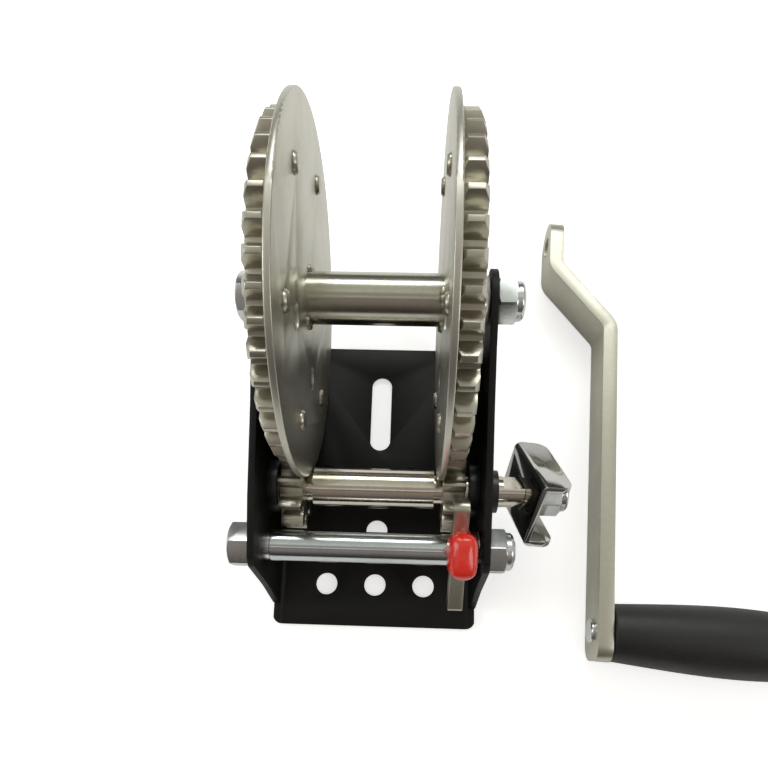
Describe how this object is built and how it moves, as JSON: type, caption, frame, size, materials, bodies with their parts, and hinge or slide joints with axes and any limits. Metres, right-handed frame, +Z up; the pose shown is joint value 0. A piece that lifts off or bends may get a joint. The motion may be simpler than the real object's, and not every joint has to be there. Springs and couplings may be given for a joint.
{
  "type": "boat trailer hand winch",
  "caption": "Geared hand winch with a wide two-flange cable drum in a bent steel frame, a drive shaft with pinions, a capped ratchet pawl and a loose offset crank with grip.",
  "frame": {"origin": "centre of the underside of the frame base", "axes": "+X along the shafts towards the crank side, +Y to the rear where the drum sits, +Z up from the base"},
  "size_m": [0.2847, 0.2463, 0.1627],
  "materials": {
    "black_powder_coat": "satin black powder coat on bent steel sheet",
    "zinc_drum": "bright zinc plate with a faint yellow-olive tint",
    "zinc_gear": "bright zinc plate, warm tint, on cut gear teeth",
    "zinc_fastener": "blue-white bright zinc plate",
    "zinc_shaft": "bright zinc plate on turned bar",
    "bright_chrome": "polished chrome plate",
    "black_nylon": "dark grey moulded nylon",
    "red_vinyl": "glossy red dipped vinyl",
    "nickel_bar": "champagne nickel plate on flat bar",
    "black_grip": "matte black moulded grip",
    "spring_wire": "plated spring wire"
  },
  "bodies": {
    "winch_frame": {"frame": "black_powder_coat", "drum_bolt": "zinc_fastener", "drum_nut": "zinc_fastener", "shaft_bushes": "black_nylon", "pawl_bolt": "zinc_fastener", "pawl_washers": "zinc_fastener", "pawl_tube": "zinc_fastener", "neck_bush": "zinc_fastener", "pawl_spring": "spring_wire", "pawl_nut": "zinc_fastener"},
    "drum": {"drum_tube": "zinc_drum", "left_flange": "zinc_drum", "right_flange": "zinc_drum", "left_gear": "zinc_gear", "right_gear": "zinc_gear", "drum_rivets": "zinc_fastener", "drum_bushes": "black_nylon"},
    "shaft": {"drive_shaft": "zinc_shaft", "left_pinion": "zinc_gear", "right_pinion": "zinc_gear", "handle_bracket": "bright_chrome", "bracket_nut": "zinc_fastener"},
    "ratchet_pawl": {"pawl": "zinc_gear", "pawl_cap": "red_vinyl"},
    "crank": {"crank_bar": "nickel_bar", "grip_pin": "zinc_fastener"},
    "crank_grip": {"grip": "black_grip"}
  },
  "joints": [
    {"name": "drum_spin", "type": "hinge", "parent": "winch_frame", "child": "drum", "pos_m": [0, 0.0637, 0.0836], "axis": [1, 0, 0], "continuous": true},
    {"name": "shaft_spin", "type": "hinge", "parent": "winch_frame", "child": "shaft", "pos_m": [0, -0.0122, 0.04133], "axis": [1, 0, 0], "continuous": true},
    {"name": "pawl_swing", "type": "hinge", "parent": "winch_frame", "child": "ratchet_pawl", "pos_m": [0, -0.042, 0.05], "axis": [1, 0, 0], "range_deg": [-17, 22]},
    {"name": "crank_lift", "type": "slide", "parent": "winch_frame", "child": "crank", "axis": [0, 0, 1], "range_m": [0, 0.12]},
    {"name": "grip_spin", "type": "hinge", "parent": "crank", "child": "crank_grip", "pos_m": [0.1122, -0.076, 0.01725], "axis": [0.9984, -0.0558, 0], "continuous": true}
  ],
  "couplings": [
    {"joint": "shaft_spin", "follows": "drum_spin", "ratio": -4}
  ]
}
